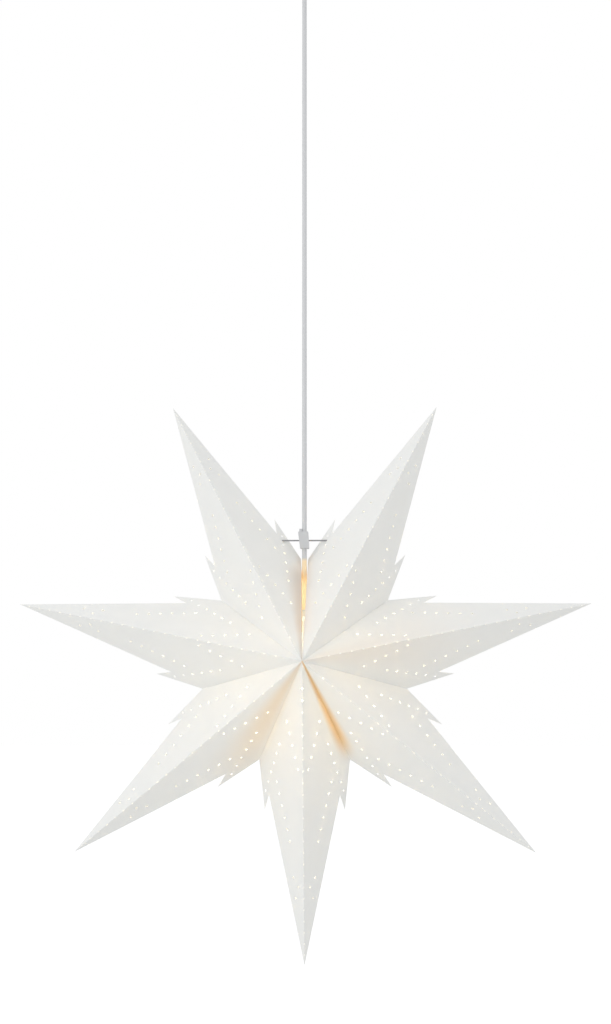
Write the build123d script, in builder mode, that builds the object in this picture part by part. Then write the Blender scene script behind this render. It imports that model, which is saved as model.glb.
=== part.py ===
import os
from math import atan2, cos, pi, sin

from build123d import *

os.makedirs("parts", exist_ok=True)

# Millimetres, +Z up. The origin is the middle of the suspension eye, on the axis of the cord.
# The star faces -Y and its arms are numbered clockwise from the upper right, seen from the front.

# Star
arm_count = 7
tip_radius = 308.0
valley_radius = 106.0
half_depth = 95.0
paper = 0.4
slit_half_angle = 1.9
flange_width = 8.0
star_drop = 830.0

# Teeth: distances along the side crease from its inner end, and outwards from it
tooth_base = 3.5
tooth_base_rise = 2.7
tooth_notch = 40.5
tooth_reach = 55.5
tooth_rise = 8.3
tooth_root = 2.0

# Perforations: small round holes, each made as a square of the same area
hole_diameter = 3.0
hole_sides = 4
hole_corner = hole_diameter / 2 * (pi / 2) ** 0.5

# Rows of perforations on a facet: how many, then the first and the last one, each as a share of
# the way from the apex to the tip and a share of the way from the apex to the valley corner
hole_rows = (
    (5, (0.078, 0.366), (0.312, 0.116)),
    (6, (0.098, 0.550), (0.149, 0.895)),
    (6, (0.202, 0.620), (0.490, 0.320)),
    (1, (0.633, 0.246), (0.633, 0.246)),
    (1, (0.697, 0.134), (0.697, 0.134)),
    (1, (0.714, 0.200), (0.714, 0.200)),
)

# Suspension
cord_radius = 2.5
cord_bore_clear = 0.05
wire_radius = 0.75
wire_clear = 0.05
wire_above_valley = 24.0
wire_half_length = 45.0
wire_wall = 0.3

# Running and seating clearances
fit = 0.02
screw_clear = 0.03

# How far a cutting tool runs past the face that it leaves
past = 1.0

star_z = -star_drop
wire_y = cord_radius + cord_bore_clear + wire_wall + wire_radius
wire_z = star_z + valley_radius + wire_above_valley
bore_radius = cord_radius + cord_bore_clear
slit_half = slit_half_angle * pi / 180
half_arm = (pi - slit_half) / arm_count
crease_slope = valley_radius * sin(half_arm) / (tip_radius - valley_radius * cos(half_arm))


def post(radius, low, high, x=0.0, y=0.0, mode=Mode.ADD):
    """An upright cylinder between two heights."""
    with Locations((x, y, low)):
        Cylinder(radius, high - low, align=(Align.CENTER, Align.CENTER, Align.MIN), mode=mode)


def rod(radius, start, direction, length, mode=Mode.ADD):
    """A cylinder from a point along a direction."""
    with Locations(Plane(origin=start, z_dir=direction)):
        Cylinder(radius, length, align=(Align.CENTER, Align.CENTER, Align.MIN), mode=mode)


def block(low, high, mode=Mode.ADD):
    """A box between two corners."""
    size = [b - a for a, b in zip(low, high)]
    with Locations(low):
        Box(*size, align=(Align.MIN, Align.MIN, Align.MIN), mode=mode)


def turned(profile, sides, mode=Mode.ADD):
    """A turned form in flat-sided bands: pairs of a radius and a height, from the bottom up."""
    for (low_radius, low), (high_radius, high) in zip(profile, profile[1:]):
        narrow, wide = sorted((low_radius, high_radius))
        with BuildSketch() as wide_end:
            RegularPolygon(wide, sides)
        height = high - low
        slope = atan2((wide - narrow) * cos(pi / sides), height)
        band = extrude(wide_end.sketch, amount=height, taper=slope * 180 / pi, mode=Mode.PRIVATE)
        place = Pos(0, 0, low) if wide == low_radius else Pos(0, 0, high) * Rot(180, 0, 0)
        add(band.moved(place), mode=mode)


def ring(radius, low, high, sides, mode=Mode.ADD):
    """A straight turned form between two heights."""
    turned(((radius, low), (radius, high)), sides, mode)


def save(part, name):
    """Labels a piece and writes it."""
    part.label = name
    export_step(part, f"parts/{name}.step")


# ---------------------------------------------------------------- star arms

def at(angle, u, w, y):
    """The point u along an arm, w to its side and y behind the middle plane of the star."""
    x = u * sin(angle) + w * cos(angle)
    z = u * cos(angle) - w * sin(angle)
    return Vector(x, wire_y + y, star_z + z)


def facet_plane(angle, side, face, inset=0.0):
    """The plane of a facet, facing out: face -1 is the front, +1 the back."""
    apex = at(angle, 0, 0, face * half_depth)
    tip = at(angle, tip_radius, 0, 0)
    valley = at(angle, valley_radius * cos(half_arm), side * valley_radius * sin(half_arm), 0)
    normal = (tip - apex).cross(valley - apex).normalized()
    if normal.Y * face < 0:
        normal = normal * -1
    return Plane(origin=tip - normal * inset, z_dir=normal)


def valley_plane(angle, side, inset=0.0):
    """The plane in which an arm is glued to its neighbour, facing out."""
    normal = at(angle, -sin(half_arm), side * cos(half_arm), 0) - at(angle, 0, 0, 0)
    return Plane(origin=at(angle, 0, 0, 0) - normal * inset, z_dir=normal)


def wedge(angle, inset):
    """The solid wedge that one arm folds around, each face moved in by the inset."""
    reach = 3 * tip_radius
    cuts = []
    for side in (-1, 1):
        cuts.append(valley_plane(angle, side, inset))
        for face in (-1, 1):
            cuts.append(facet_plane(angle, side, face, inset))
    with BuildPart() as solid:
        with Locations((0, wire_y, star_z)):
            Box(reach, 3 * half_depth, reach)
        for cut in cuts:
            split(bisect_by=cut, keep=Keep.BOTTOM)
    return solid.part


def crease_point(side, along, out):
    """Where a point beside the side crease lies, in the middle plane: u and w."""
    length = (1 + crease_slope**2) ** 0.5
    u = valley_radius * cos(half_arm) + (along + out * crease_slope) / length
    w = valley_radius * sin(half_arm) + (out - along * crease_slope) / length
    return u, side * w


def on_facet(angle, side, face, u, w):
    """The point of a facet's plane that lies in front of or behind u, w."""
    plane = facet_plane(angle, side, face)
    foot = at(angle, u, w, 0)
    depth = (plane.origin - foot).dot(plane.z_dir) / plane.z_dir.Y
    return foot + Vector(0, depth, 0)


def facet_patch(angle, side, face, outline):
    """A flat face in a facet's plane with the outline given in the middle plane."""
    points = [on_facet(angle, side, face, u, w) for u, w in outline]
    patch = Face(Wire.make_polygon(points, close=True))
    if patch.normal_at().dot(facet_plane(angle, side, face).z_dir) < 0:
        patch = -patch
    return patch


def tooth_outline(side):
    """The tooth beside the crease, with a root that runs back into the front facet."""
    corners = (
        (0, -tooth_root),
        (0, 0),
        (tooth_base, tooth_base_rise),
        (tooth_reach, tooth_rise),
        (tooth_notch, 0),
        (tooth_notch, -tooth_root),
    )
    return [crease_point(side, along, out) for along, out in corners]


def cut_out_outline(side):
    """The cut-out that the tooth leaves in the back facet, on the other side of the fold."""
    corners = ((0, 0), (tooth_base, -tooth_base_rise), (tooth_reach, -tooth_rise), (tooth_notch, 0))
    return [crease_point(side, along, out) for along, out in corners]


def flange_window(angle, side):
    """The opening inside a glue flange, in the plane of the flange."""
    scale = 1 - flange_width * (1 / valley_radius**2 + 1 / half_depth**2) ** 0.5
    deep = half_depth * (scale + past / valley_radius)
    middle = at(angle, 0, 0, 0)
    far = at(angle, cos(half_arm), side * sin(half_arm), 0) - middle
    corners = [
        middle + far * valley_radius * scale,
        middle - far * past + Vector(0, deep, 0),
        middle - far * past - Vector(0, deep, 0),
    ]
    return Face(Wire.make_polygon(corners, close=True))


def facet_sheet(angle, side):
    """The plane of a front facet, with its origin at the apex and its X axis along the ridge."""
    apex = at(angle, 0, 0, -half_depth)
    ridge = at(angle, tip_radius, 0, 0) - apex
    return Plane(origin=apex, x_dir=ridge, z_dir=facet_plane(angle, side, -1).z_dir)


def hole_spots(angle, side):
    """The middles of the perforations of a front facet, in the plane of that facet."""
    sheet = facet_sheet(angle, side)
    to_tip = at(angle, tip_radius, 0, 0) - sheet.origin
    corner = crease_point(side, 0, 0)
    to_valley = at(angle, *corner, 0) - sheet.origin
    spots = []
    for count, first, last in hole_rows:
        for step in range(count):
            share = step / max(count - 1, 1)
            tip_share = first[0] + share * (last[0] - first[0])
            valley_share = first[1] + share * (last[1] - first[1])
            place = sheet.origin + to_tip * tip_share + to_valley * valley_share
            spots.append(sheet.to_local_coords(place))
    return spots


cut_depth = 3 * paper
for index in range(arm_count):
    angle = slit_half + (2 * index + 1) * half_arm
    outer = wedge(angle, 0)
    inner = wedge(angle, paper)
    with BuildPart() as arm:
        add(outer)
        add(inner, mode=Mode.SUBTRACT)
        for side in (-1, 1):
            extrude(flange_window(angle, side), amount=cut_depth, both=True, mode=Mode.SUBTRACT)
            cut_out = facet_patch(angle, side, 1, cut_out_outline(side))
            extrude(cut_out, amount=cut_depth, both=True, mode=Mode.SUBTRACT)
            tooth = facet_patch(angle, side, -1, tooth_outline(side))
            extrude(tooth, amount=-paper)
            with BuildSketch(facet_sheet(angle, side)):
                with Locations(*hole_spots(angle, side)):
                    RegularPolygon(hole_corner, hole_sides)
            extrude(amount=-cut_depth, mode=Mode.SUBTRACT)
        if index in (0, arm_count - 1):
            start = (-2 * wire_half_length, wire_y, wire_z)
            rod(wire_radius + wire_clear, start, (1, 0, 0), 4 * wire_half_length, mode=Mode.SUBTRACT)
    save(arm.part, f"arm_{index + 1}")

# ---------------------------------------------------------------- hanger wire and cord lock

lock_half = 9.0
lock_head_left = 6.7
lock_foot_left = 4.5
lock_head_right = 4.1
lock_foot_right = 5.2
lock_front = 4.5
lock_skin = 1.2
lock_bevel = 0.8
wedge_half_width = 2.2
wedge_head = 5.4
wedge_foot = 3.2
wedge_drop = 7.5
wedge_grip = 3.0

lock_low = wire_z - lock_half
lock_high = wire_z + lock_half
lock_back = wire_y + wire_radius + lock_skin
lock_thick = lock_front + lock_back
wedge_low = wire_z - wedge_drop
wedge_high = lock_high + wedge_grip

with BuildPart() as hanger_wire:
    rod(wire_radius, (-wire_half_length, wire_y, wire_z), (1, 0, 0), 2 * wire_half_length)
save(hanger_wire.part, "hanger_wire")

with BuildPart() as lock_body:
    with BuildSketch(Plane.XZ.offset(lock_front)) as front_view:
        with BuildLine():
            Polyline(
                (-lock_foot_left, lock_low),
                (lock_foot_right, lock_low),
                (lock_head_right, lock_high),
                (-lock_head_left, lock_high),
                close=True,
            )
        make_face()
        chamfer(front_view.vertices(), length=lock_bevel)
    extrude(amount=-lock_thick)
    post(bore_radius, lock_low - past, lock_high + past, mode=Mode.SUBTRACT)
    start = (-2 * lock_head_left, wire_y, wire_z)
    rod(wire_radius + fit, start, (1, 0, 0), 4 * lock_head_left, mode=Mode.SUBTRACT)
    with BuildSketch(Plane.XZ.offset(-wedge_half_width - fit)):
        with BuildLine():
            Polyline(
                (-cord_radius + past, wedge_low - fit),
                (-cord_radius + past, lock_high + past),
                (-wedge_head - fit, lock_high + past),
                (-wedge_foot - fit, wedge_low - fit),
                close=True,
            )
        make_face()
    extrude(amount=2 * (wedge_half_width + fit), mode=Mode.SUBTRACT)
save(lock_body.part, "lock_body")

with BuildPart() as lock_wedge:
    with BuildSketch(Plane.XZ.offset(-wedge_half_width)):
        with BuildLine():
            Polyline(
                (-cord_radius - fit, wedge_low),
                (-cord_radius - fit, wedge_high),
                (-wedge_head, wedge_high),
                (-wedge_head, lock_high + past),
                (-wedge_foot, wedge_low),
                close=True,
            )
        make_face()
    extrude(amount=2 * wedge_half_width)
save(lock_wedge.part, "lock_wedge")

# ---------------------------------------------------------------- lamp holder

lathe_sides = 24
holder_rise = 4.0
holder_radius = 14.0
holder_wall = 1.5
sleeve_length = 34.0
cap_length = 18.0
cap_shoulder_radius = 9.0
cap_skirt = 10.0
insert_length = 20.0
insert_width = 14.0
insert_depth = 10.0
ledge_radius = 10.0
holder_screw_x = 7.0
head_radius = 2.2
head_height = 1.8
head_sides = 6
contact_thick = 0.6
contact_length = 10.0
contact_width = 4.0
cord_entry = 6.0

sleeve_low = star_z + holder_rise
sleeve_high = sleeve_low + sleeve_length
cap_high = sleeve_high + cap_length
insert_low = sleeve_high - insert_depth
cord_low = cap_high - cord_entry

with BuildPart() as holder_sleeve:
    ring(holder_radius, sleeve_low, sleeve_high, lathe_sides)
    ring(holder_radius - holder_wall, insert_low, sleeve_high, lathe_sides, Mode.SUBTRACT)
    ring(ledge_radius, sleeve_low, insert_low, lathe_sides, Mode.SUBTRACT)
save(holder_sleeve.part, "holder_sleeve")

cap_outside = (
    (holder_radius, sleeve_high),
    (holder_radius, sleeve_high + cap_skirt),
    (cap_shoulder_radius, cap_high),
)
cap_inside = (
    (holder_radius - holder_wall, sleeve_high),
    (cap_shoulder_radius - holder_wall, cord_low - past),
)
with BuildPart() as holder_cap:
    turned(cap_outside, lathe_sides)
    turned(cap_inside, lathe_sides, Mode.SUBTRACT)
    post(bore_radius, sleeve_high, cap_high + past, mode=Mode.SUBTRACT)
save(holder_cap.part, "holder_cap")

with BuildPart() as holder_insert:
    block(
        (-insert_length / 2, -insert_width / 2, insert_low),
        (insert_length / 2, insert_width / 2, sleeve_high),
    )
save(holder_insert.part, "holder_insert")

with BuildPart() as holder_screws:
    with BuildSketch(Plane.XY.offset(sleeve_high)):
        with Locations((-holder_screw_x, 0), (holder_screw_x, 0)):
            RegularPolygon(head_radius, head_sides)
    extrude(amount=head_height)
save(holder_screws.part, "holder_screws")

lamp_cap_radius = 7.0
shell_clear = 0.1
shell_wall = 0.4
shell_set_in = 2.0
shell_low = sleeve_low + shell_set_in

with BuildPart() as screw_shell:
    ring(lamp_cap_radius + shell_clear + shell_wall, shell_low, insert_low, lathe_sides)
    ring(lamp_cap_radius + shell_clear, shell_low, insert_low, lathe_sides, Mode.SUBTRACT)
save(screw_shell.part, "screw_shell")

with BuildPart() as centre_contact:
    block(
        (-contact_length / 2, -contact_width / 2, insert_low - contact_thick),
        (contact_length / 2, contact_width / 2, insert_low),
    )
save(centre_contact.part, "centre_contact")

# ---------------------------------------------------------------- lamp

glass_radius = 22.5
glass_wall = 0.8
glass_drop = 30.0
cap_wall = 0.4
lamp_cap_length = 17.0
contact_radius = 2.0
contact_sides = 12
contact_height = 1.0
insulator_height = 1.4
insulator_foot = 5.5
insulator_head = 4.0
neck_in_cap = 8.0
stem_thick = 2.0
stem_rise = 12.0
filament_radius = 0.3
filament_sides = 6
filament_spread = 9.0
filament_legs = 1.5
filament_drop = 4.0

# The globe from its bottom to its shoulder: heights and radii as shares of its radius
globe_bands = ((-1.0, 0.36), (-0.66, 0.76), (-0.22, 1.0), (0.22, 1.0), (0.66, 0.76))

glass_z = sleeve_low - glass_drop
lamp_top = insert_low - contact_thick - fit
cap_top = lamp_top - contact_height - insulator_height
cap_low = cap_top - lamp_cap_length
neck_radius = lamp_cap_radius - cap_wall - fit
neck_high = cap_low + neck_in_cap
stem_low = glass_z + stem_rise
neck_inside = (neck_radius - glass_wall) * cos(pi / lathe_sides)
stem_half = (neck_inside**2 - (stem_thick / 2) ** 2) ** 0.5 - fit

with BuildPart() as lamp_contact:
    ring(contact_radius, lamp_top - contact_height, lamp_top, contact_sides)
save(lamp_contact.part, "lamp_contact")

with BuildPart() as lamp_insulator:
    turned(((insulator_foot, cap_top), (insulator_head, cap_top + insulator_height)), lathe_sides)
save(lamp_insulator.part, "lamp_insulator")

with BuildPart() as lamp_cap:
    ring(lamp_cap_radius, cap_low, cap_top, lathe_sides)
    ring(lamp_cap_radius - cap_wall, cap_low, cap_top - cap_wall, lathe_sides, Mode.SUBTRACT)
save(lamp_cap.part, "lamp_cap")


def glass_profile(inset):
    """The globe and its neck from the bottom up, moved in from the outside of the glass."""
    inner_radius = glass_radius - inset
    globe = [(radius * inner_radius, glass_z + height * inner_radius) for height, radius in globe_bands]
    return globe + [(neck_radius - inset, glass_z + inner_radius), (neck_radius - inset, neck_high)]


with BuildPart() as lamp_glass:
    turned(glass_profile(0), lathe_sides)
    turned(glass_profile(glass_wall), lathe_sides, Mode.SUBTRACT)
save(lamp_glass.part, "lamp_glass")

with BuildPart() as lamp_stem:
    block((-stem_half, -stem_thick / 2, stem_low), (stem_half, stem_thick / 2, neck_high))
save(lamp_stem.part, "lamp_stem")

with BuildPart() as filament:
    with BuildLine() as bend:
        Polyline(
            (filament_legs, 0, stem_low),
            (filament_spread, 0, glass_z - filament_drop),
            (-filament_spread, 0, glass_z - filament_drop),
            (-filament_legs, 0, stem_low),
        )
    with BuildSketch(Plane(origin=bend.line @ 0, z_dir=bend.line % 0)):
        RegularPolygon(filament_radius, filament_sides)
    sweep(transition=Transition.RIGHT)
    split(bisect_by=Plane.XY.offset(stem_low), keep=Keep.BOTTOM)
save(filament.part, "filament")

# ---------------------------------------------------------------- ceiling end

eye_radius = 4.0
eye_land = 2.0
strap_half_width = 10.0
strap_thick = 2.0
strap_top = 8.0
strap_window_half = 6.0
clamp_high = -20.0
clamp_low = -38.0
clamp_half = 7.0
screw_radius = 1.5
clamp_screw_z = (clamp_high + clamp_low) / 2

with BuildPart() as eye_strap:
    block((-strap_half_width, -strap_thick / 2, clamp_low), (strap_half_width, strap_thick / 2, strap_top))
    block(
        (-strap_window_half, -strap_thick, clamp_high),
        (strap_window_half, strap_thick, -eye_radius - eye_land),
        mode=Mode.SUBTRACT,
    )
    block((-strap_half_width, -clamp_half, clamp_low), (strap_half_width, clamp_half, clamp_high))
    rod(eye_radius, (0, -strap_thick, 0), (0, 1, 0), 2 * strap_thick, mode=Mode.SUBTRACT)
    post(bore_radius, clamp_low - past, clamp_high + past, mode=Mode.SUBTRACT)
    start = (0, -clamp_half - past, clamp_screw_z)
    rod(screw_radius + screw_clear, start, (0, 1, 0), clamp_half + past, mode=Mode.SUBTRACT)
save(eye_strap.part, "eye_strap")

with BuildPart() as clamp_screw:
    rod(screw_radius, (0, -clamp_half, clamp_screw_z), (0, 1, 0), clamp_half - cord_radius - fit)
save(clamp_screw.part, "clamp_screw")

core_radius = 0.95
core_sides = 6
core_x = 1.05
core_clear = 0.02
core_bend = 3.0
core_gap = 1.2
cord_proud = 2.0
cord_high = clamp_high + cord_proud
terminal_x = 4.0
terminal_z = -10.0
terminal_front = 9.0
terminal_depth = 12.0
terminal_half_width = 9.0
terminal_half_height = 5.0
terminal_entry = 5.0

with BuildPart() as cord:
    post(cord_radius, cord_low, cord_high)
    with BuildSketch(Plane.XY.offset(cord_low)):
        with Locations((-core_x, 0), (core_x, 0)):
            RegularPolygon(core_radius + core_clear, core_sides)
    extrude(amount=cord_high - cord_low, mode=Mode.SUBTRACT)
save(cord.part, "cord")


def conductor(side):
    """One insulated core of the cord, from a holder screw up to the terminal block."""
    x = side * core_x
    terminal = side * terminal_x
    low = (side * (holder_screw_x - head_radius - core_gap), 0, sleeve_high + past)
    with BuildPart() as core:
        with BuildLine() as run:
            FilletPolyline(
                low,
                (x, 0, cord_low - 2 * past),
                (x, 0, cord_high + 2 * past),
                (terminal, terminal_front - 2 * past, terminal_z),
                (terminal, terminal_front + terminal_entry, terminal_z),
                radius=core_bend,
            )
        ahead = run.line % 0
        across = Vector(0, 1, 0).cross(ahead)
        with BuildSketch(Plane(origin=run.line @ 0, x_dir=across, z_dir=ahead)):
            RegularPolygon(core_radius, core_sides)
        sweep()
    return core.part


save(conductor(-1), "conductor_blue")
save(conductor(1), "conductor_brown")

entry_half = core_radius + core_clear
with BuildPart() as terminal_block:
    block(
        (-terminal_half_width, terminal_front, terminal_z - terminal_half_height),
        (terminal_half_width, terminal_front + terminal_depth, terminal_z + terminal_half_height),
    )
    for x in (-terminal_x, terminal_x):
        block(
            (x - entry_half, terminal_front - past, terminal_z - entry_half),
            (x + entry_half, terminal_front + terminal_entry + fit, terminal_z + entry_half),
            mode=Mode.SUBTRACT,
        )
save(terminal_block.part, "terminal_block")

terminal_screw_y = terminal_front + terminal_entry
with BuildPart() as terminal_screws:
    with BuildSketch(Plane.XY.offset(terminal_z + terminal_half_height)):
        with Locations((-terminal_x, terminal_screw_y), (terminal_x, terminal_screw_y)):
            RegularPolygon(head_radius, head_sides)
    extrude(amount=head_height / 2)
save(terminal_screws.part, "terminal_screws")

cup_radius = 47.5
cup_foot_radius = 41.0
cup_bevel = 4.0
cup_wall = 1.2
cup_top = 20.0
cup_bottom = -45.0
cup_sides = 60
bush_sides = 24
bush_radius = 5.0
collar_radius = 8.0
bush_low = -57.0
nut_height = 4.0
nut_radius = 8.0
nut_sides = 6


def cup_profile(inset):
    """The cup from its bottom to its rim, moved in from its outside."""
    return (
        (cup_foot_radius - cup_bevel - inset / 2, cup_bottom + inset),
        (cup_foot_radius - inset, cup_bottom + cup_bevel + inset / 2),
        (cup_radius - inset, cup_top),
    )


with BuildPart() as ceiling_cup:
    turned(cup_profile(0), cup_sides)
    turned(cup_profile(cup_wall), cup_sides, Mode.SUBTRACT)
    ring(bush_radius + fit, cup_bottom, cup_bottom + cup_wall, bush_sides, Mode.SUBTRACT)
save(ceiling_cup.part, "ceiling_cup")

grip_z = (bush_low + cup_bottom) / 2
nut_low = cup_bottom + cup_wall
bush_high = nut_low + nut_height
with BuildPart() as cup_bush:
    ring(collar_radius, bush_low, cup_bottom, bush_sides)
    ring(bush_radius, cup_bottom, bush_high, bush_sides)
    post(bore_radius, bush_low - past, bush_high + past, mode=Mode.SUBTRACT)
    start = (0, -collar_radius - past, grip_z)
    rod(screw_radius + screw_clear, start, (0, 1, 0), collar_radius + past, mode=Mode.SUBTRACT)
save(cup_bush.part, "cup_bush")

with BuildPart() as grip_nut:
    with BuildSketch(Plane.XY.offset(nut_low)):
        RegularPolygon(nut_radius, nut_sides)
        RegularPolygon(bush_radius + fit, bush_sides, mode=Mode.SUBTRACT)
    extrude(amount=nut_height)
save(grip_nut.part, "grip_nut")

with BuildPart() as grip_screw:
    rod(screw_radius, (0, -collar_radius, grip_z), (0, 1, 0), collar_radius - cord_radius - fit)
save(grip_screw.part, "grip_screw")
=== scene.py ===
import math

import bmesh
import bpy
import numpy as np
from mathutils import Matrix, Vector
from mathutils.geometry import delaunay_2d_cdt


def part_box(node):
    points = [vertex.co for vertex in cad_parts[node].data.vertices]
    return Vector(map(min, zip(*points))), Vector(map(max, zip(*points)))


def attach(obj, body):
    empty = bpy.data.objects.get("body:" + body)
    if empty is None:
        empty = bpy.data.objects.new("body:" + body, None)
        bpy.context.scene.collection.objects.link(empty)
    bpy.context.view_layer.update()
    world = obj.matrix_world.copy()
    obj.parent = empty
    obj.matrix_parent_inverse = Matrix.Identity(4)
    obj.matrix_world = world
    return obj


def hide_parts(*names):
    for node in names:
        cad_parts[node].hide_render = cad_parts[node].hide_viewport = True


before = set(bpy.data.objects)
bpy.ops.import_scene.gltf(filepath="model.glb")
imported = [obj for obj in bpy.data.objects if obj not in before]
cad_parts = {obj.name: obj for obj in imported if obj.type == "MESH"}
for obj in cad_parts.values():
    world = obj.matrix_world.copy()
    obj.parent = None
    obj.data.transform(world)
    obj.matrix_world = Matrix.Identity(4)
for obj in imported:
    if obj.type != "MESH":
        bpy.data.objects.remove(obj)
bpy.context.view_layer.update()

# ------------------------------------------------------------------ the seven paper arms
# Each arm is one sheet of white paper, die cut with small round holes and folded to a hollow
# pyramid with four facets and two glue flanges. Its ridges and its side creases are sharp folds,
# and beside each side crease a tooth of the front facet stands past the fold.

ARMS = 7
TIP_RADIUS = 0.308
VALLEY_RADIUS = 0.106
HALF_DEPTH = 0.095
PAPER = 0.0004
FLANGE_WIDTH = 0.008
SLIT_HALF_ANGLE = math.radians(1.9)
GLUE_ANGLE = 0.0006
WELD = 2e-6
SAME_PLACE = 1e-7

HOLE_RADIUS = 0.0013
HOLE_SIDES = 14
HOLE_MARGIN = 0.0006
RIDGE_PITCH = 0.0123
RIDGE_FIRST = 0.0284
RIDGE_BITE = 0.0011

TOOTH_BASE, TOOTH_NOTCH, TOOTH_REACH = 0.0035, 0.0405, 0.0555
TOOTH_BASE_RISE, TOOTH_RISE = 0.0027, 0.0083

# Rows of holes on a facet, each from one hole to another, as places along the arm and sideways.
HOLE_ROWS = (
    (5, (0.0597, 0.0167), (0.1075, 0.0053)),
    (6, (0.0826, 0.0250), (0.1313, 0.0407)),
    (6, (0.1214, 0.0282), (0.1816, 0.0146)),
    (1, (0.2185, 0.0112), (0.2185, 0.0112)),
    (1, (0.2276, 0.0061), (0.2276, 0.0061)),
    (1, (0.2392, 0.0091), (0.2392, 0.0091)),
)

HALF_ARM = (math.pi - SLIT_HALF_ANGLE) / ARMS
SPREAD = HALF_ARM - GLUE_ANGLE
VALLEY_ALONG = VALLEY_RADIUS * math.cos(HALF_ARM)
VALLEY_ASIDE = VALLEY_RADIUS * math.sin(HALF_ARM)
CREASE_SLOPE = VALLEY_ASIDE / (TIP_RADIUS - VALLEY_ALONG)
star_low, star_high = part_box("arm_4")
STAR_Y = (star_low[1] + star_high[1]) / 2
STAR_Z = star_low[2] + TIP_RADIUS


def crease(along, out):
    """A place beside the side crease: its inner end, and steps along it and square to it."""
    start = CREASE_SLOPE * TIP_RADIUS / (math.tan(SPREAD) + CREASE_SLOPE)
    length = math.hypot(1, CREASE_SLOPE)
    u = start + (along + out * CREASE_SLOPE) / length
    w = start * math.tan(SPREAD) + (out - along * CREASE_SLOPE) / length
    return u, w


def depth(places):
    """How far a facet stands from the middle plane: the plane through apex, tip and valley."""
    slope = (1 - VALLEY_ALONG / TIP_RADIUS) / VALLEY_ASIDE
    return HALF_DEPTH * (1 - places[:, 0] / TIP_RADIUS - places[:, 1] * slope)


def flat_axes():
    """Unit vectors along the ridge and square to it in the facet, for u, w and y of the front."""
    corners = np.array([[0, 0], [TIP_RADIUS, 0], list(crease(0, 0))])
    spots = np.column_stack([corners, depth(corners)])
    along = spots[1] - spots[0]
    along /= np.linalg.norm(along)
    across = spots[2] - spots[0]
    across -= along * (across @ along)
    return along, across / np.linalg.norm(across)


ALONG, ACROSS = flat_axes()


def flatten(places):
    """Places u, w on a facet, as distances along and across the ridge in the facet itself."""
    spots = np.column_stack([places, depth(places) - HALF_DEPTH])
    return np.column_stack([spots @ ALONG, spots @ ACROSS])


def unflatten(flat):
    """Distances along and across the ridge, back as u, w and y before the middle plane."""
    return flat[:, :1] * ALONG + flat[:, 1:] * ACROSS + np.array([0, 0, HALF_DEPTH])


def bitten_ridge():
    """The ridge from apex to tip, with a half circle bitten out where each ridge hole is."""
    length = math.hypot(TIP_RADIUS, HALF_DEPTH)
    turn = np.linspace(math.pi, 0, HOLE_SIDES // 2 + 1)
    middles = np.arange(RIDGE_FIRST, length - 2 * RIDGE_PITCH / 3, RIDGE_PITCH)
    along = middles[:, None] + RIDGE_BITE * np.cos(turn)
    across = np.broadcast_to(RIDGE_BITE * np.sin(turn), along.shape)
    bites = np.column_stack([along.ravel(), across.ravel()])
    bites[np.abs(bites[:, 1]) < SAME_PLACE, 1] = 0
    return np.vstack([[0, 0], bites, [length, 0]])


def facet_outline(out_sign):
    """A facet's edge: the ridge, the crease and, past or inside it, the tooth or its cut-out."""
    corners = [
        crease(TOOTH_NOTCH, 0),
        crease(TOOTH_REACH, out_sign * TOOTH_RISE),
        crease(TOOTH_BASE, out_sign * TOOTH_BASE_RISE),
        crease(0, 0),
    ]
    return np.vstack([bitten_ridge(), flatten(np.array(corners))])


def inside(points, outline, margin):
    """True for points within a closed outline that stay a margin away from it."""
    a, b = outline, np.roll(outline, -1, axis=0)
    x, y = points[:, None, 0], points[:, None, 1]
    with np.errstate(divide="ignore", invalid="ignore"):
        meet = a[:, 0] + (y - a[:, 1]) * (b[:, 0] - a[:, 0]) / (b[:, 1] - a[:, 1])
    crossed = ((a[:, 1] > y) != (b[:, 1] > y)) & (x < meet)
    span = b - a
    share = ((points[:, None] - a) * span).sum(2) / np.maximum((span**2).sum(1), 1e-18)
    nearest = np.clip(share, 0, 1)[..., None] * span
    gap = np.linalg.norm(points[:, None] - a - nearest, axis=2).min(1)
    return (crossed.sum(1) % 2 == 1) & (gap > margin)


def hole_middles(outline):
    """Middles of the round holes of a facet, in the facet, without those that its edge cuts."""
    rows = [np.linspace(start, end, count) for count, start, end in HOLE_ROWS]
    middles = flatten(np.vstack(rows))
    return middles[inside(middles, outline, HOLE_RADIUS + HOLE_MARGIN)]


def punched(outline, middles):
    """Vertices and triangles of a flat sheet with an outline and round holes at the middles."""
    turn = np.arange(HOLE_SIDES) * 2 * math.pi / HOLE_SIDES
    circle = HOLE_RADIUS * np.column_stack([np.cos(turn), np.sin(turn)])
    loops = [outline] + [middle + circle for middle in middles]
    starts = np.cumsum([0] + [len(loop) for loop in loops])
    faces = [list(range(a, b)) for a, b in zip(starts, starts[1:])]
    points = [Vector(point) for point in np.vstack(loops)]
    out = delaunay_2d_cdt(points, [], faces, 2, SAME_PLACE)
    return np.array([tuple(point) for point in out[0]]), np.array(out[2])


def placed(places, angle):
    """Places u, w, y of an arm turned to its angle round the star: u is up at angle nought."""
    u, w, y = places.T
    x = u * math.sin(angle) + w * math.cos(angle)
    z = u * math.cos(angle) - w * math.sin(angle)
    return np.column_stack([x, y + STAR_Y, z + STAR_Z])


def facet_mesh(side, face):
    """One facet as u, w, y and triangles, wound so that it faces out of the arm."""
    outline = facet_outline(-face)
    flat, triangles = punched(outline, hole_middles(outline))
    places = unflatten(flat) * [1, side, face]
    return places, triangles if side == face else triangles[:, ::-1]


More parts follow.
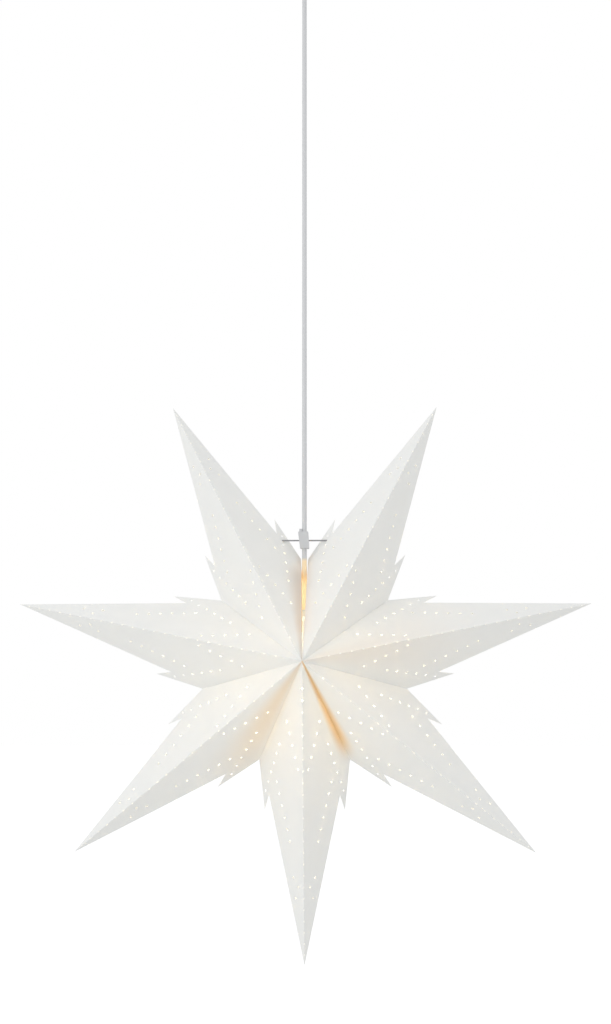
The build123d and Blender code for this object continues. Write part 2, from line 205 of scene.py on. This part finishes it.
def flange_mesh(side):
    """One glue flange: a triangle in the valley plane, cut open inside its narrow rim."""
    radius = math.hypot(*crease(0, 0))
    inner = 1 - FLANGE_WIDTH * math.hypot(1 / VALLEY_RADIUS, 1 / HALF_DEPTH)
    rim = np.array([[0, -1], [1, 0], [0, 1], [0, inner], [inner, 0], [0, -inner]])
    places = np.column_stack([
        rim[:, 0] * radius * math.cos(SPREAD),
        rim[:, 0] * radius * math.sin(SPREAD) * side,
        rim[:, 1] * HALF_DEPTH,
    ])
    quads = np.array([[0, 1, 4, 5], [1, 2, 3, 4]])
    return places, quads if side > 0 else quads[:, ::-1]


def arm_mesh(name, angle):
    """The whole sheet of one arm: four facets and two flanges joined along their folds."""
    rows, faces, count = [], [], 0
    parts = [facet_mesh(side, face) for side in (-1, 1) for face in (-1, 1)]
    parts += [flange_mesh(side) for side in (-1, 1)]
    for places, cells in parts:
        rows.append(placed(places, angle))
        faces += (cells + count).tolist()
        count += len(places)
    mesh = bpy.data.meshes.new(name)
    mesh.from_pydata(np.vstack(rows), [], faces)
    work = bmesh.new()
    work.from_mesh(mesh)
    bmesh.ops.remove_doubles(work, verts=work.verts, dist=WELD)
    work.to_mesh(mesh)
    work.free()
    return mesh


def shown(name, mesh, body, nodes=()):
    """Puts a mesh or curve into the scene as a piece of the object."""
    piece = bpy.data.objects.new(name, mesh)
    bpy.context.scene.collection.objects.link(piece)
    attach(piece, body)
    if nodes:
        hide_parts(*nodes)
    return piece


class Finish:
    """A material under construction: its node tree, its Principled shader and its output."""

    def __init__(self, name, color, roughness):
        self.material = bpy.data.materials.new(name)
        self.material.use_nodes = True
        tree = self.material.node_tree
        self.nodes, self.links = tree.nodes, tree.links
        self.shader = self.nodes["Principled BSDF"]
        self.output = self.nodes["Material Output"]
        self.shader.inputs["Base Color"].default_value = (*color, 1)
        self.shader.inputs["Roughness"].default_value = roughness
        self.place = self.nodes.new("ShaderNodeTexCoord").outputs["Object"]

    def noise(self, scale, detail=3.0):
        """Soft random grey over the piece, with scale features in a metre."""
        node = self.nodes.new("ShaderNodeTexNoise")
        node.inputs["Scale"].default_value = scale
        node.inputs["Detail"].default_value = detail
        self.links.new(self.place, node.inputs["Vector"])
        return node.outputs["Fac"]

    def between(self, factor, low, high):
        """A colour that goes from low to high with a factor."""
        ramp = self.nodes.new("ShaderNodeValToRGB")
        ramp.color_ramp.elements[0].position = 0.3
        ramp.color_ramp.elements[1].position = 0.7
        ramp.color_ramp.elements[0].color = (*low, 1)
        ramp.color_ramp.elements[1].color = (*high, 1)
        self.links.new(factor, ramp.inputs["Fac"])
        return ramp.outputs["Color"]

    def math(self, operation, first, second=0.0, third=0.0):
        """A Math node: each operand is a number or another node's output."""
        node = self.nodes.new("ShaderNodeMath")
        node.operation = operation
        for socket, value in zip(node.inputs, (first, second, third)):
            if isinstance(value, (int, float)):
                socket.default_value = value
            else:
                self.links.new(value, socket)
        return node.outputs["Value"]

    def distance(self, origin, direction):
        """How far the shaded place lies from an origin along a direction."""
        node = self.nodes.new("ShaderNodeVectorMath")
        node.operation = "DOT_PRODUCT"
        node.inputs[1].default_value = direction
        self.links.new(self.place, node.inputs[0])
        return self.math("SUBTRACT", node.outputs["Value"], Vector(origin).dot(Vector(direction)))

    def fade(self, value, start, end):
        """A smooth step from 1 at the start to 0 at the end."""
        node = self.nodes.new("ShaderNodeMapRange")
        node.interpolation_type = "SMOOTHSTEP"
        settings = (("From Min", start), ("From Max", end), ("To Min", 1.0), ("To Max", 0.0))
        for socket, setting in settings:
            if isinstance(setting, (int, float)):
                node.inputs[socket].default_value = setting
            else:
                self.links.new(setting, node.inputs[socket])
        self.links.new(value, node.inputs["Value"])
        return node.outputs["Result"]

    def tint(self, mask, color, under):
        """A colour laid over another one where the mask is 1."""
        node = self.nodes.new("ShaderNodeMix")
        node.data_type = "RGBA"
        self.links.new(mask, node.inputs["Factor"])
        self.links.new(under, node.inputs["A"])
        node.inputs["B"].default_value = (*color, 1)
        return node.outputs["Result"]

    def bump(self, factor, height, strength=0.3):
        """Relief of a height in metres from a factor."""
        node = self.nodes.new("ShaderNodeBump")
        node.inputs["Distance"].default_value = height
        node.inputs["Strength"].default_value = strength
        self.links.new(factor, node.inputs["Height"])
        self.links.new(node.outputs["Normal"], self.shader.inputs["Normal"])
        return node.outputs["Normal"]


PAPER_LOW = (0.862, 0.880, 0.886)
PAPER_HIGH = (0.880, 0.898, 0.904)
PAPER_THROUGH = (0.97, 0.90, 0.76)
PAPER_THIN = 0.16
PAPER_GRAIN = 900.0
PAPER_CLOUD = 40.0
PAPER_RELIEF = 0.0001

# Painted light and shade laid into the paper's colour by place: patches of painted warm glow that
# stand in for the lamp's light through the paper round the folds nearest to it, the deep valley at
# 154.2 degrees painted orange with glow and shade together, and at -4 degrees a band of painted
# shade beside the slit. Each gives its direction from the middle, in degrees clockwise from the
# top, where it starts to fade and where it ends, how wide it is there, its colour and how much of
# it there is.
PAINTED_GLOW_AND_SHADE = (
    (154.2, 0.080, 0.114, 0.0120, (0.81, 0.52, 0.21), 0.92),
    (-4.0, 0.090, 0.112, 0.0200, (0.64, 0.55, 0.47), 0.55),
    (214.0, 0.060, 0.180, 0.0450, (0.82, 0.64, 0.43), 0.55),
    (80.0, 0.050, 0.200, 0.0800, (0.87, 0.78, 0.68), 0.45),
)
STAR_MIDDLE = (0.0, STAR_Y, STAR_Z)


def paint_glow_and_shade(finish, under):
    """Paints glow and shade patches over a colour, soft to their sides and fading at their end."""
    for turn, fading, reach, width, color, amount in PAINTED_GLOW_AND_SHADE:
        turn = math.radians(turn)
        out = finish.distance(STAR_MIDDLE, (math.sin(turn), 0.0, math.cos(turn)))
        across = finish.distance(STAR_MIDDLE, (math.cos(turn), 0.0, -math.sin(turn)))
        aside = finish.math("ABSOLUTE", across)
        grown = finish.math("MULTIPLY_ADD", out, width / reach, 0.001)
        end = finish.fade(out, fading, reach)
        mask = finish.math("MULTIPLY", finish.fade(aside, 0.0, grown), end)
        mask = finish.math("MULTIPLY", mask, finish.math("GREATER_THAN", out, 0.0))
        under = finish.tint(finish.math("MULTIPLY", mask, amount), color, under)
    return under


def let_light_through(finish):
    """Mixes some translucence into a finish, so that a lamp behind the sheet shows."""
    relief = finish.bump(finish.noise(PAPER_GRAIN), PAPER_RELIEF, 0.25)
    through = finish.nodes.new("ShaderNodeBsdfTranslucent")
    through.inputs["Color"].default_value = (*PAPER_THROUGH, 1)
    finish.links.new(relief, through.inputs["Normal"])
    blend = finish.nodes.new("ShaderNodeMixShader")
    blend.inputs["Fac"].default_value = PAPER_THIN
    finish.links.new(finish.shader.outputs["BSDF"], blend.inputs[1])
    finish.links.new(through.outputs["BSDF"], blend.inputs[2])
    finish.links.new(blend.outputs["Shader"], finish.output.inputs["Surface"])


# The paper's own colour is a cloudy white; painted glow and painted shade are laid over it.
paper = Finish("star_paper", PAPER_HIGH, 0.8)
paper_color = paper.between(paper.noise(PAPER_CLOUD, 6.0), PAPER_LOW, PAPER_HIGH)
paper.links.new(paint_glow_and_shade(paper, paper_color), paper.shader.inputs["Base Color"])
let_light_through(paper)

# The side of the sheet that faces the lamp has a painted glow, an even emission that stands in for
# the light bounced between white walls lit from within. Where it is seen through the slit, its
# colour and glow are painted golden, as if lit by the lamp.
PAINTED_INSIDE_GLOW = (1.0, 0.94, 0.82)
INSIDE_GLOW_STRENGTH = 0.20
PAINTED_SLIT_GLOW = (0.92, 0.67, 0.33)
SLIT_LIGHT_FADES, SLIT_LIGHT_ENDS = 0.005, 0.012
SLIT_LIGHT_LOW = 0.03

lit_paper = Finish("star_paper_inside", PAPER_HIGH, 0.85)
# Painted lamp light: inside surfaces close behind the slit and above the middle are tinted gold in
# colour and glow.
from_slit = lit_paper.math("ABSOLUTE", lit_paper.distance(STAR_MIDDLE, (1, 0, 0)))
behind_slit = lit_paper.fade(from_slit, SLIT_LIGHT_FADES, SLIT_LIGHT_ENDS)
height = lit_paper.distance(STAR_MIDDLE, (0, 0, 1))
above_middle = lit_paper.math("GREATER_THAN", height, SLIT_LIGHT_LOW)
painted_slit_glow_mask = lit_paper.math("MULTIPLY", behind_slit, above_middle)
for socket, color in (("Base Color", PAPER_HIGH), ("Emission Color", PAINTED_INSIDE_GLOW)):
    plain = lit_paper.nodes.new("ShaderNodeRGB")
    plain.outputs["Color"].default_value = (*color, 1)
    painted_slit_color = lit_paper.tint(painted_slit_glow_mask, PAINTED_SLIT_GLOW, plain.outputs["Color"])
    lit_paper.links.new(painted_slit_color, lit_paper.shader.inputs[socket])
lit_paper.shader.inputs["Emission Strength"].default_value = INSIDE_GLOW_STRENGTH
let_light_through(lit_paper)

for index in range(ARMS):
    node_name = f"arm_{index + 1}"
    sheet = arm_mesh(f"paper_{node_name}", SLIT_HALF_ANGLE + (2 * index + 1) * HALF_ARM)
    arm = shown(f"paper_{node_name}", sheet, "star", [node_name])
    sheet.materials.append(paper.material)
    sheet.materials.append(lit_paper.material)
    thickness = arm.modifiers.new("paper", "SOLIDIFY")
    thickness.thickness = PAPER
    thickness.offset = -1
    thickness.material_offset = 1
    thickness.material_offset_rim = 1

# ------------------------------------------------------------------ the cord
# White round sheathed cable, pulled straight by the lamp and the star. It leaves the top of the
# lamp holder, goes up through the slit and the lock, and ends in the strap inside the cup.

CORD_DIAMETER = 0.005
CORD_ROUTE = ((0, 0, -0.78), (0, 0, -0.53), (0, 0, -0.27), (0, 0, -0.018))

cord_line = bpy.data.curves.new("suspension_cord", "CURVE")
cord_line.dimensions = "3D"
cord_line.bevel_depth = CORD_DIAMETER / 2
cord_line.bevel_resolution = 6
cord_line.use_fill_caps = True
cord_spline = cord_line.splines.new("NURBS")
cord_spline.points.add(len(CORD_ROUTE) - 1)
for spot, point in zip(CORD_ROUTE, cord_spline.points):
    point.co = (*spot, 1)
cord_spline.order_u = 3
cord_spline.use_endpoint_u = True

SHEATH = (0.63, 0.635, 0.64)
# Painted lamp light: below the top of the slit the sheath is tinted warm and given a faint glow.
PAINTED_SHEATH_GLOW = (0.90, 0.72, 0.46)
SHEATH_GLOW_STRENGTH = 0.12
SHEATH_GLOW_FULL, SHEATH_GLOW_ENDS = 0.001, 0.006

sheath = Finish("cord_sheath", SHEATH, 0.45)
sheath_color = sheath.between(sheath.noise(300.0), SHEATH, tuple(0.97 * part for part in SHEATH))
above_slit = sheath.distance((0, 0, STAR_Z + VALLEY_RADIUS), (0, 0, 1))
painted_glow_mask = sheath.fade(above_slit, SHEATH_GLOW_FULL, SHEATH_GLOW_ENDS)
sheath.links.new(sheath.tint(painted_glow_mask, PAINTED_SHEATH_GLOW, sheath_color), sheath.shader.inputs["Base Color"])
sheath.shader.inputs["Emission Color"].default_value = (*PAINTED_SHEATH_GLOW, 1)
sheath_glow = sheath.math("MULTIPLY", painted_glow_mask, SHEATH_GLOW_STRENGTH)
sheath.links.new(sheath_glow, sheath.shader.inputs["Emission Strength"])
sheath.bump(sheath.noise(1500.0), 0.00005, 0.15)
cord_line.materials.append(sheath.material)
cord = shown("suspension_cord", cord_line, "suspension", ["cord"])

# ------------------------------------------------------------------ moulded and metal pieces
# The lock, the holder and everything at the ceiling are moulded in white plastic, with screws and
# a wire of plain steel. They keep their solids' shapes.


def dress(nodes, material):
    """Gives carried-over pieces a material."""
    for node in nodes:
        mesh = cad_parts[node].data
        mesh.materials.clear()
        mesh.materials.append(material)


def moulded(name, color, roughness):
    """Moulded plastic: one cloudy colour with the faint orange-peel of a mould."""
    finish = Finish(name, color, roughness)
    shade = tuple(0.96 * part for part in color)
    cloudy = finish.between(finish.noise(60.0), shade, color)
    finish.links.new(cloudy, finish.shader.inputs["Base Color"])
    finish.bump(finish.noise(700.0), 0.00005, 0.2)
    return finish.material


def drawn_metal(name, color, roughness):
    """Bare metal with a fine, drawn roughness."""
    finish = Finish(name, color, roughness)
    finish.shader.inputs["Metallic"].default_value = 1.0
    finish.bump(finish.noise(1200.0, 5.0), 0.00003, 0.2)
    return finish.material


dress(
    (
        "holder_sleeve",
        "holder_cap",
        "eye_strap",
        "ceiling_cup",
        "cup_bush",
        "grip_nut",
        "grip_screw",
    ),
    moulded("white_plastic", (0.80, 0.80, 0.79), 0.4),
)
dress(("lock_body", "lock_wedge"), moulded("grey_plastic", (0.60, 0.605, 0.61), 0.5))
dress(
    ("holder_insert", "lamp_insulator", "terminal_block"),
    moulded("insulator", (0.74, 0.72, 0.67), 0.55),
)
dress(("conductor_blue",), moulded("core_blue", (0.08, 0.2, 0.55), 0.45))
dress(("conductor_brown",), moulded("core_brown", (0.24, 0.13, 0.06), 0.45))
dress(
    ("holder_screws", "filament", "clamp_screw", "terminal_screws"),
    drawn_metal("steel", (0.60, 0.60, 0.61), 0.35),
)
dress(("hanger_wire",), drawn_metal("wire_steel", (0.30, 0.30, 0.31), 0.45))
dress(
    ("screw_shell", "centre_contact", "lamp_contact", "lamp_cap"),
    drawn_metal("brass", (0.75, 0.58, 0.28), 0.3),
)

# ------------------------------------------------------------------ the lamp
# A small frosted bulb, of glass on a brass cap, is screwed into the holder and hangs in the middle
# of the star. Its warm light shows in the holes and through the paper.

BULB_LIGHT = (1.0, 0.83, 0.56)
BULB_STRENGTH = 25.0

frosted = Finish("frosted_glass", (0.95, 0.92, 0.85), 0.35)
frosted.bump(frosted.noise(500.0), 0.00005, 0.2)
frosted.shader.inputs["Emission Color"].default_value = (*BULB_LIGHT, 1)
frosted.shader.inputs["Emission Strength"].default_value = BULB_STRENGTH
dress(("lamp_glass", "lamp_stem"), frosted.material)

# ------------------------------------------------------------------ floor, light and camera
# The pendant hangs in front of plain white, over a pale floor that the camera sees as white too and
# sees through from below. A broad soft light comes from the left, and the camera looks up.

FLOOR_Z = -1.7
FLOOR_HALF = 30.0
FLOOR_LIFT = 0.30
WORLD_LIGHT = 0.91
KEY_PLACE, KEY_SIZE, KEY_POWER = (-1.3, -1.5, -0.3), 1.4, 7.0

floor_mesh = bpy.data.meshes.new("floor")
corner_signs = ((-1, -1), (1, -1), (1, 1), (-1, 1))
floor_corners = [(x * FLOOR_HALF, y * FLOOR_HALF, FLOOR_Z) for x, y in corner_signs]
floor_mesh.from_pydata(floor_corners, [], [(0, 1, 2, 3)])
floor = bpy.data.objects.new("floor", floor_mesh)
bpy.context.scene.collection.objects.link(floor)
pale = Finish("pale_floor", (0.86, 0.86, 0.85), 0.9)
pale.bump(pale.noise(30.0), 0.0005, 0.1)
pale.shader.inputs["Emission Color"].default_value = (1, 1, 1, 1)
camera_ray = pale.nodes.new("ShaderNodeLightPath").outputs["Is Camera Ray"]
lift = pale.math("MULTIPLY", camera_ray, FLOOR_LIFT)
pale.links.new(lift, pale.shader.inputs["Emission Strength"])
clear = pale.nodes.new("ShaderNodeBsdfTransparent")
from_below = pale.nodes.new("ShaderNodeNewGeometry").outputs["Backfacing"]
one_way = pale.nodes.new("ShaderNodeMixShader")
pale.links.new(from_below, one_way.inputs["Fac"])
pale.links.new(pale.shader.outputs["BSDF"], one_way.inputs[1])
pale.links.new(clear.outputs["BSDF"], one_way.inputs[2])
pale.links.new(one_way.outputs["Shader"], pale.output.inputs["Surface"])
floor_mesh.materials.append(pale.material)

world = bpy.data.worlds.new("studio")
bpy.context.scene.world = world
world.use_nodes = True
sky, sky_links = world.node_tree.nodes, world.node_tree.links
fill = sky["Background"]
fill.inputs["Color"].default_value = (0.97, 0.98, 1.0, 1)
fill.inputs["Strength"].default_value = WORLD_LIGHT
white = sky.new("ShaderNodeBackground")
white.inputs["Color"].default_value = (1, 1, 1, 1)
white.inputs["Strength"].default_value = 1.0
ray = sky.new("ShaderNodeLightPath")
seen = sky.new("ShaderNodeMath")
seen.operation = "ADD"
seen_clear = sky.new("ShaderNodeMath")
seen_clear.operation = "ADD"
seen_clear.use_clamp = True
sky_links.new(ray.outputs["Is Camera Ray"], seen.inputs[0])
sky_links.new(ray.outputs["Is Glossy Ray"], seen.inputs[1])
sky_links.new(seen.outputs["Value"], seen_clear.inputs[0])
sky_links.new(ray.outputs["Is Transmission Ray"], seen_clear.inputs[1])
sky_mix = sky.new("ShaderNodeMixShader")
sky_links.new(seen_clear.outputs["Value"], sky_mix.inputs["Fac"])
sky_links.new(fill.outputs["Background"], sky_mix.inputs[1])
sky_links.new(white.outputs["Background"], sky_mix.inputs[2])
sky_links.new(sky_mix.outputs["Shader"], sky["World Output"].inputs["Surface"])


def soft_light(name, place, target, size, power):
    """A square soft light at a place, turned to a target."""
    light = bpy.data.lights.new(name, "AREA")
    light.size = size
    light.energy = power
    panel = bpy.data.objects.new(name, light)
    panel.location = place
    panel.rotation_euler = (Vector(target) - Vector(place)).to_track_quat("-Z", "Y").to_euler()
    bpy.context.scene.collection.objects.link(panel)


soft_light("key", KEY_PLACE, STAR_MIDDLE, KEY_SIZE, KEY_POWER)

# The picture is 611 by 1024 pixels at 1.05 mm to a pixel, and the star's middle is at 304.5, 663.7.
PIXEL = 0.00105
PICTURE_HIGH = 1024
MIDDLE_ROW, STAR_ROW = 512.0, 663.7
MIDDLE_COLUMN, STAR_COLUMN = 305.5, 304.5
CAMERA_AWAY = 1.613
CAMERA_AZIMUTH, CAMERA_ELEVATION = math.radians(1.46), math.radians(-7.18)
SENSOR = 36.0
FAR_AWAY = 100.0

back = Vector((
    math.sin(CAMERA_AZIMUTH) * math.cos(CAMERA_ELEVATION),
    -math.cos(CAMERA_AZIMUTH) * math.cos(CAMERA_ELEVATION),
    math.sin(CAMERA_ELEVATION),
))
turned = (-back).to_track_quat("-Z", "Y")
right, up = turned @ Vector((1, 0, 0)), turned @ Vector((0, 1, 0))
aim = Vector(STAR_MIDDLE)
aim += up * PIXEL * (STAR_ROW - MIDDLE_ROW)
aim += right * PIXEL * (MIDDLE_COLUMN - STAR_COLUMN)
lens = bpy.data.cameras.new("camera")
lens.sensor_width = SENSOR
lens.lens = SENSOR * CAMERA_AWAY / (PICTURE_HIGH * PIXEL)
lens.clip_end = FAR_AWAY
camera = bpy.data.objects.new("camera", lens)
camera.location = aim + back * CAMERA_AWAY
camera.rotation_euler = turned.to_euler()
bpy.context.scene.collection.objects.link(camera)
bpy.context.scene.camera = camera
bpy.context.scene.view_settings.view_transform = "Standard"
